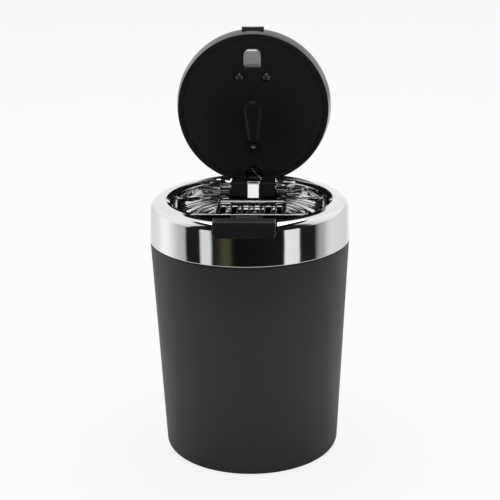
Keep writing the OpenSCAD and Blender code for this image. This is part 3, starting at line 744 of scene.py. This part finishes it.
# %% Geometry node trees
class Shapes(Tree):
    """A geometry node tree that changes the mesh it is given."""

    def __init__(self, name, **inputs):
        super().__init__(bpy.data.node_groups.new(name, "GeometryNodeTree"))
        sockets = self.tree.interface
        self.keys = {}
        sockets.new_socket("Geometry", in_out="INPUT", socket_type="NodeSocketGeometry")
        sockets.new_socket("Geometry", in_out="OUTPUT", socket_type="NodeSocketGeometry")
        for key, kind in {**inputs, "Material": "Material"}.items():
            made = sockets.new_socket(key, in_out="INPUT", socket_type="NodeSocket" + kind)
            self.keys[key] = made.identifier
        self.start = self.tree.nodes.new("NodeGroupInput")
        self.end = self.tree.nodes.new("NodeGroupOutput")

    def given(self, key):
        return Sock(self, self.start.outputs[key])

    def close(self, geometry):
        real = self.node("GeometryNodeRealizeInstances", {"Geometry": geometry})
        painted = self.node("GeometryNodeSetMaterial", {
            "Geometry": real, "Material": self.given("Material")})
        self.plug(self.end.inputs["Geometry"], painted)

    def apply(self, piece, **values):
        """Runs the tree on a piece and keeps the result as a plain mesh in metres."""
        run = piece.modifiers.new(self.tree.name, "NODES")
        run.node_group = self.tree
        for key, value in values.items():
            run[self.keys[key]] = value
        settle(piece)
        clean(piece.data)
        return piece


wire_tree = Shapes("wire_on_path", Radius="Float", Bend="Float", Sides="Int")
path = wire_tree.node("GeometryNodeMeshToCurve", {"Mesh": wire_tree.given("Geometry")})
path = wire_tree.node("GeometryNodeFilletCurve", {
    "Curve": path, "Count": 6, "Radius": wire_tree.given("Bend"), "Limit Radius": True},
    mode="POLY")
profile = wire_tree.node("GeometryNodeCurvePrimitiveCircle", {
    "Resolution": wire_tree.given("Sides"), "Radius": wire_tree.given("Radius")})
wire_tree.close(wire_tree.node("GeometryNodeCurveToMesh", {
    "Curve": path, "Profile Curve": profile, "Fill Caps": True}))

row_tree = Shapes("rows_and_columns", Columns="Int", Rows="Int", Column_Step="Float",
                  Row_Step="Float")
column_step, row_step = row_tree.given("Column_Step"), row_tree.given("Row_Step")
first_x = (row_tree.given("Columns") - 1.0) * column_step * -0.5
first_y = (row_tree.given("Rows") - 1.0) * row_step * -0.5


def line_of(count, start, step):
    return row_tree.node("GeometryNodeMeshLine", {
        "Count": count, "Start Location": row_tree.node("ShaderNodeCombineXYZ", start),
        "Offset": row_tree.node("ShaderNodeCombineXYZ", step)})


columns = line_of(row_tree.given("Columns"), {"X": first_x}, {"X": column_step})
rows = line_of(row_tree.given("Rows"), {"Y": first_y}, {"Y": row_step})
one_row = row_tree.node("GeometryNodeInstanceOnPoints", {
    "Points": columns, "Instance": row_tree.given("Geometry")})
row_tree.close(row_tree.node("GeometryNodeInstanceOnPoints", {
    "Points": rows, "Instance": one_row}))


def wire(name, points, radius, bend=0.0, sides=12):
    """A round wire through the given points, in millimetres."""
    mesh = bpy.data.meshes.new(name)
    mesh.from_pydata([tuple(c * MM for c in p) for p in points],
                     [(i, i + 1) for i in range(len(points) - 1)], [])
    piece = bpy.data.objects.new(name, mesh)
    bpy.context.scene.collection.objects.link(piece)
    return wire_tree.apply(piece, Radius=radius * MM, Bend=bend * MM, Sides=sides)


def repeated(piece, columns, column_step, rows=1, row_step=0.0):
    """Repeats a piece about its own place. Steps are in millimetres."""
    return row_tree.apply(piece, Columns=columns, Rows=rows, Column_Step=column_step * MM,
                          Row_Step=row_step * MM)


print("geometry trees:", wire_tree.tree.name, row_tree.tree.name)

# %% [markdown]
# ## Grille
#
# The ash rest is a plated moulding. The front half is one wide opening for the ash. Behind it
# lies a raised island with a comb of slots, a pointed rest with a V groove in the middle, and a
# groove across. Curved ribs and slots fill both flanks. Every slot has a soft lip, and these lips
# are what glitters in the dark well of the ring.

# %% Grille, base and raised parts
GRILLE_BOTTOM, PLATE_TOP, ISLAND_TOP = 95.35, 96.25, 97.0


def through(name, outline, top=ISLAND_TOP, radius=0.35, bottom=94.4):
    """A cutter up to `top` that leaves a lip of `radius`. By default it cuts right through."""
    return raised(name, outline, edge_levels(bottom, top, radius, True))


def mesa(name, outline, top=ISLAND_TOP):
    """A raised part with a rounded upper edge."""
    return raised(name, outline, edge_levels(95.6, top, 0.3, False))


def polar(radius, degrees):
    return Vector((radius * math.cos(math.radians(degrees)),
                   radius * math.sin(math.radians(degrees))))


grille = turned("ash_grille_look", rounded([
    (0, GRILLE_BOTTOM, 0), (32.4, GRILLE_BOTTOM, 0.2), (32.4, 97.1, 0.15), (30.0, 97.1, 0.35),
    (30.0, PLATE_TOP, 0.3), (0, PLATE_TOP, 0)]), closed=False)
join(grille, mesa("island", lambda grow: rounded_box((-14.3, 3.4), (14.3, 27.6), 0.5, grow)))
for side in (-1, 1):
    low, high = sorted((side * 13.2, side * 24.1))
    join(grille, mesa("strip", lambda grow: rounded_box((low, 3.5), (high, 5.6), 0.3, grow),
                      top=96.95))
    edge = [polar(23.85, a if side > 0 else 180 - a) for a in (11.5 + 0.6 * k for k in range(15))]
    join(grille, wire("edge_rib", [(p.x, p.y, PLATE_TOP) for p in edge], 0.66))
    for i, radius in enumerate((19.2, 22.5, 25.7)):
        start, end = 8 + 5 * i, math.degrees(math.acos(13.6 / radius))
        line = [polar(radius, start + (end - start) * k / 36) for k in range(37)]
        points = [(side * p.x, p.y, 96.3 - 0.7 * max(0, 1 - k / 3) ** 2)
                  for k, p in enumerate(line)]
        join(grille, wire("rib", points, 0.66, sides=16))
print("grille faces:", len(grille.data.polygons))

# %% [markdown]
# ## Openings of the grille
#
# A slot is cut with a flared cutter, so that its lip is round. The comb is one such cutter,
# repeated by the row tree, and so are the shallow grooves along its bars. A web under the middle
# of the comb carries the pointed rest, and a V groove is cut in it with an outline of its own.

# %% Grille, openings
def opening_outline(grow):
    """The wide front opening and the gaps that run on round both front corners."""
    outer, inner, front = 28.6 + grow, 24.6 - grow, 4.3 + grow
    end = 21 + math.degrees(grow / 26.6)
    turn = math.degrees(math.asin(front / inner))
    points = [polar(outer, 180 - end + (180 + 2 * end) * k / 120) for k in range(121)]
    points += [polar(inner, end - (end - turn) * k / 8) for k in range(9)]
    points += [polar(inner, 180 - turn - (end - turn) * k / 8) for k in range(9)]
    return points


def arc_slot(side, radius, start, end, half):
    """A curved slot with round ends, as a function of its growth."""
    def outline(grow):
        h = half + grow
        a, b = math.radians(start) + half / radius, math.radians(end) - half / radius
        near, far = (radius * Vector((math.cos(t), math.sin(t))) for t in (a, b))
        points = [(radius + h) * Vector((math.cos(t), math.sin(t)))
                  for t in (a + (b - a) * k / 30 for k in range(31))]
        points += arc_points(far, h, math.degrees(b), math.degrees(b) + 180, 8)[1:-1]
        points += [(radius - h) * Vector((math.cos(t), math.sin(t)))
                   for t in (b + (a - b) * k / 30 for k in range(31))]
        points += arc_points(near, h, math.degrees(a) + 180, math.degrees(a) + 360, 8)[1:-1]
        return [Vector((side * p.x, p.y)) for p in points]
    return outline


COMB_STEP = 4.6
carve(grille, through("opening", opening_outline))
comb_cutter = through("comb_slots", lambda grow: rounded_box(
    (-1.15, 5.6), (1.15, 16.4), 0.35, grow))
carve(grille, repeated(comb_cutter, columns=6, column_step=COMB_STEP))
pocket_cutter = through("pockets", lambda grow: rounded_box(
    (-0.62, 9.8), (0.62, 16.0), 0.3, grow), radius=0.2, bottom=96.3)
carve(grille, repeated(pocket_cutter, columns=5, column_step=COMB_STEP))
carve(grille, through("groove", lambda grow: rounded_box(
    (-13.4, 21.7), (13.4, 24.1), 0.3, grow), bottom=95.9))
for side in (-1, 1):
    for radius, start in ((20.9, 16), (24.1, 33), (27.2, 46)):
        end = math.degrees(math.acos(14.8 / radius))
        carve(grille, through("curved_slot", arc_slot(side, radius, start, end, 0.75),
                              top=PLATE_TOP, radius=0.15))
web = pushed("web", [Vector(c) for c in ((-5.4, 16.9), (5.4, 16.9), (0.5, 5.0), (-0.5, 5.0))],
             "z", 95.36, 96.24)
join(grille, web)
chevron = pushed("chevron", [Vector(c) for c in (
    (-4.6, 16.3), (-0.5, 6.4), (0.5, 6.4), (4.6, 16.3), (2.94, 16.3), (0.5, 8.8), (-0.5, 8.8),
    (-2.94, 16.3))], "z", 96.2, 98)
carve(grille, chevron, block("block_room", (-10.2, 27.4, 94), (10.2, 38, 98)),
      block("underside", (-40, -40, 93), (40, 40, GRILLE_BOTTOM)))
finish(grille, chrome_plate, "head", "chrome_plate", "ash_grille", sharp=30)

# %% [markdown]
# ## Springs
#
# The lid spring is a torsion spring on the hinge pin. One leg rests on the ring, the other rises
# into the round hole, where its bright end shows. Two small coils with fixed rear ends push the
# button out; they are built at rest.

# %% Springs
def helix(start, end, centre, radius, turns, first):
    """Points of a helix along X from `start` to `end`, round a centre (y, z)."""
    count = round(turns * 24)
    points = []
    for k in range(count + 1):
        a = math.radians(first - 360 * turns * k / count)
        points.append((start + (end - start) * k / count, centre[0] + radius * math.cos(a),
                       centre[1] + radius * math.sin(a)))
    return points


coil = helix(6.2, 3.2, (HINGE_Y, HINGE_Z), 1.75, 4.5, 270)
lid_spring = wire("lid_spring_look", [(6.2, 37.0, 98.75), (6.2, 33.4, 98.75)] + coil + [
    (3.15, 34.75, 102.1), (3.0, 36.3, 103.9), (1.6, 36.9, 104.7), (-1.2, 36.9, 107.9)],
    0.3, bend=0.4, sides=14)
finish(lid_spring, steel, "lid", "spring_steel", "lid_spring")
for side in (-1, 1):
    spring = wire("button_spring", [(x + side * 7.5, y, z) for y, x, z in helix(
        -36.05, -33.3, (0, 99.1), 1.25, 4, 0)], 0.2, sides=10)
    finish(spring, steel, "head", "spring_steel", "button_springs")
    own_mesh(spring)

# %% [markdown]
# ## Pin and screws
#
# The pin is plain drawn steel. The screws have low domed heads with a cross recess, and a row of
# cones for a thread, since none of it shows once they are driven in.

# %% Pin and screws
pin = moved(turned("hinge_pin_look", rounded([
    (0, -12, 0), (1.0, -12, 0.25), (1.0, 12, 0.25), (0, 12, 0)]), segments=32, closed=False),
    ON_HINGE)
finish(pin, steel, "head", "cell_steel", "hinge_pin")


def screw(name, shank_length, head_radius, head_height, shank_radius=0.78):
    """A pan-head screw that points up, with its head below zero and a cross recess in it."""
    outline = [(0, -head_height, 0), (head_radius * 0.45, -head_height * 0.96, 0),
               (head_radius, -head_height * 0.62, 0.18), (head_radius, 0.01, 0),
               (shank_radius, 0.01, 0)]
    root_radius, pitch, z = shank_radius * 0.8, 0.5, 0.4
    while z + pitch < shank_length - 0.5:
        outline += [(shank_radius, z, 0), (root_radius, z + pitch / 2, 0)]
        z += pitch
    outline += [(root_radius, shank_length - 0.4, 0), (0, shank_length, 0)]
    body = turned(name, rounded(outline, steps=4), segments=32, closed=False)
    arm, width, depth = head_radius * 0.62, 0.17, -head_height + 0.42
    carve(body, block("arm", (-arm, -width, -2), (arm, width, depth)),
          block("arm", (-width, -arm, -2), (width, arm, depth)))
    return body


lid_screws = moved(
    repeated(screw("lid_screws_look", 4.6, 1.7, 0.8), columns=2, column_step=2 * SCREW_X),
    ON_LID @ Matrix.Translation(Vector((0, -SCREW_V, 0.86)) * MM))
finish(lid_screws, dark_zinc, "lid", "screw_zinc", "lid_screws")
collar_screws = moved(
    repeated(screw("collar_screws_look", 6.5, 1.4, 1.0), columns=2, column_step=64.16,
             rows=2, row_step=25.92), Matrix.Translation(Vector((0, 0, 93.88)) * MM))
finish(collar_screws, steel, "head", "screw_zinc", "collar_screws")

# %% [markdown]
# ## Lamp
#
# A clear diode of three millimetres: its flat collar sits behind the panel, its dome just shows,
# and the two metal leads inside it glint through the lens. It is turned solid, because a lens
# only bends light as it should when it is one closed body.

# %% Lamp
LAMP_R = 1.5
dome = [(LAMP_R * math.sin(math.radians(a)), -LAMP_R * math.cos(math.radians(a)), 0)
        for a in range(10, 91, 10)]
lamp = turned("led_lamp_look", rounded([(0, -LAMP_R, 0), *dome, (LAMP_R, 1.9, 0.1),
                                        (1.9, 1.9, 0.1), (1.9, 2.9, 0.1), (LAMP_R, 2.9, 0.1),
                                        (LAMP_R, 3.2, 0.1), (0, 3.2, 0)], steps=3),
              segments=48, closed=False)
finish(moved(lamp, ON_LAMP), lamp_clear, "lid", "lamp_clear", "led_lamp")
for side in (-1, 1):
    lead_line = [(side * x, LID_Y + w, LID_Z + LAMP_V)
                 for x, w in ((0.64, 5.55), (0.64, 0.1), (0.3, -0.5))]
    lead = wire("lamp_lead", lead_line, 0.2, bend=0.2, sides=8)
    finish(lead, nickel, "lid", "hook_metal", "led_lamp")

# %% [markdown]
# ## Floor
#
# The bin stands on a plain pale sheet. The sheet takes the soft shadow under the foot. For the
# camera it is mostly plain white, so that it runs into the white backdrop without an edge.

# %% Floor
def stage_mesh(name, vertices, faces, material, camera_sees=True):
    """A mesh of the stage, which isn't part of the model."""
    mesh = bpy.data.meshes.new(name)
    mesh.from_pydata(vertices, [], faces)
    piece = bpy.data.objects.new(name, mesh)
    bpy.context.scene.collection.objects.link(piece)
    mesh.materials.append(material)
    piece.visible_camera = camera_sees
    return piece


FLOOR_HALF, WHITE_SHARE = 3.0, 0.86
sheet = Shader("pale_floor")
sheet.set(Base_Color=(0.8, 0.8, 0.8, 1), Roughness=0.9)
seen = sheet.node("ShaderNodeLightPath", out="Is Camera Ray")
white = sheet.node("ShaderNodeEmission", {"Color": (1, 1, 1, 1), "Strength": 1.0})
sheet.plug(sheet.output.inputs["Surface"], sheet.node("ShaderNodeMixShader", {
    0: seen * WHITE_SHARE, 1: Sock(sheet, sheet.bsdf.outputs[0]), 2: white}))
stage_mesh("floor", [(x * FLOOR_HALF, y * FLOOR_HALF, 0)
                     for x, y in ((-1, -1), (1, -1), (1, 1), (-1, 1))], [(0, 1, 2, 3)],
           sheet.material)
print("made the floor")

# %% [markdown]
# ## Studio
#
# Chrome is only as good as what it mirrors. Glossy rays see a ring of white soft boxes with a
# black gap in front, and black above. Soft light sees a plain world, and the camera plain white.

# %% Studio
def around(shader, vector):
    """How far round a direction or place is: 0.5 in front, and less to the left."""
    split = shader.node("ShaderNodeSeparateXYZ", {"Vector": vector}).socket.node
    x, y, z = (Sock(shader, split.outputs[axis]) for axis in "XYZ")
    return x.math("ARCTAN2", y * -1.0) / math.tau + 0.5, z


def ring_of_tones(shader, turn, tones):
    """A ramp round the object from (degrees, brightness) pairs."""
    return shader.ramp(turn, *[(a / 360 + 0.5, c if isinstance(c, tuple) else (c, c, c))
                               for a, c in tones])


def studio_world(diffuse, tones, ceiling):
    """White for the camera, plain for soft light, and soft boxes and black cards for gloss."""
    world = bpy.data.worlds.new("studio")
    bpy.context.scene.world = world
    world.use_nodes = True
    room = Tree(world.node_tree)
    background = room.tree.nodes["Background"]
    turn, height = around(room, room.node("ShaderNodeTexCoord", out="Generated"))
    boxes = ring_of_tones(room, turn, tones)
    seen = room.node("ShaderNodeLightPath", out="Is Camera Ray")
    mirrored = room.node("ShaderNodeLightPath", out="Is Glossy Ray")
    through_lens = room.node("ShaderNodeLightPath", out="Is Transmission Ray")
    gloss = (mirrored + through_lens).clamp()
    tint = room.mix(gloss, (1, 1, 1, 1), boxes)
    room.plug(background.inputs["Color"], room.mix(seen, tint, (1, 1, 1, 1)))
    shade = room.fit(height, *ceiling, 1.0, 0.02)
    strength = gloss * (shade - diffuse) + diffuse
    room.plug(background.inputs["Strength"], seen * (1.0 - strength) + strength)


studio_world(0.6, [
    (-180, 0.9), (-160, 0.85), (-140, 0.92), (-96, 0.93), (-80, 0.75), (-72.5, 0.7),
    (-70.5, 0.012), (70, 0.012), (79, 0.1), (82, 0.65), (98, 0.85), (118, 0.95), (140, 0.95),
    (160, 0.85), (180, 0.9)], ceiling=(0.79, 0.84))
print("made the world")

# %% [markdown]
# ## Cards and soft boxes
#
# A round strip of white and black cards stands close round the bin. Its edges give the upright
# stripes on the ring's wall, which a distant room can't give without striping the ring's inside
# too. A soft box over the camera is mirrored by the leaning face of the post and by the pointed
# rest, and one soft lamp overhead makes the shadow.

# %% Cards and soft boxes
def lit_surface(name, points, faces, glow=None, shader=None):
    """A card or soft box that only mirrors show."""
    shader = shader or Shader(name)
    shader.set(Base_Color=(0, 0, 0, 1), Roughness=1.0, Specular_IOR_Level=0.0,
               Emission_Color=glow or (1, 1, 1, 1), Emission_Strength=1.0)
    card = stage_mesh(name, points, faces, shader.material, camera_sees=False)
    card.visible_diffuse = False
    card.visible_shadow = False
    return card


def low_cards(name, radius, low, high, tones):
    """The round strip of white and black cards that stands close round the ring."""
    shader = Shader(name)
    turn, height = around(shader, shader.node("ShaderNodeTexCoord", out="Object"))
    steps = 96
    points, faces = [], []
    for i in range(steps):
        a = math.tau * i / steps
        points += [(radius * math.sin(a), -radius * math.cos(a), z) for z in (low, high)]
        k, m = 2 * i, 2 * ((i + 1) % steps)
        faces.append((k, m, m + 1, k + 1))
    return lit_surface(name, points, faces, ring_of_tones(shader, turn, tones), shader)


low_cards("low_cards", 0.12, 0.055, 0.124, [
    (-180, 0.95), (-150, 0.95), (-128, 0.75), (-110, 0.82), (-98, 1.0), (-89, 1.0),
    (-80, 0.78), (-72, 0.56), (-62.6, 0.44), (-61.2, 0.012), (-46, 0.011), (-44.4, 0.74),
    (-35, 0.72), (-33, 0.012), (-27, 0.02), (-22, (0.066, 0.058, 0.036)),
    (-16.5, (0.058, 0.052, 0.033)), (-12.8, 0.01), (-9, 0.005), (20, 0.008), (35, 0.01),
    (36.6, 0.87), (50.8, 0.82), (52.2, 0.013), (69.5, 0.013), (71.5, 0.16), (76, 0.36),
    (81, 0.42), (88, 0.7), (95, 0.79), (125, 0.68), (152, 0.95)])

lit_surface("front_box", [(-0.13, -0.60, 0.28), (0.13, -0.60, 0.28), (0.13, -0.50, 0.56),
                          (-0.13, -0.50, 0.56)], [(0, 1, 2, 3)])


top_light = bpy.data.lights.new("top", "AREA")
top_light.shape = "RECTANGLE"
top_light.size = top_light.size_y = 0.9
top_light.energy = 8
top = bpy.data.objects.new("top", top_light)
bpy.context.scene.collection.objects.link(top)
top.location = (0, 0.2, 1.2)
top.rotation_euler = (Vector((0, 0, 0.1)) - top.location).to_track_quat("-Z", "Y").to_euler()
bpy.context.scene.view_settings.view_transform = "Standard"
print("stage ready")
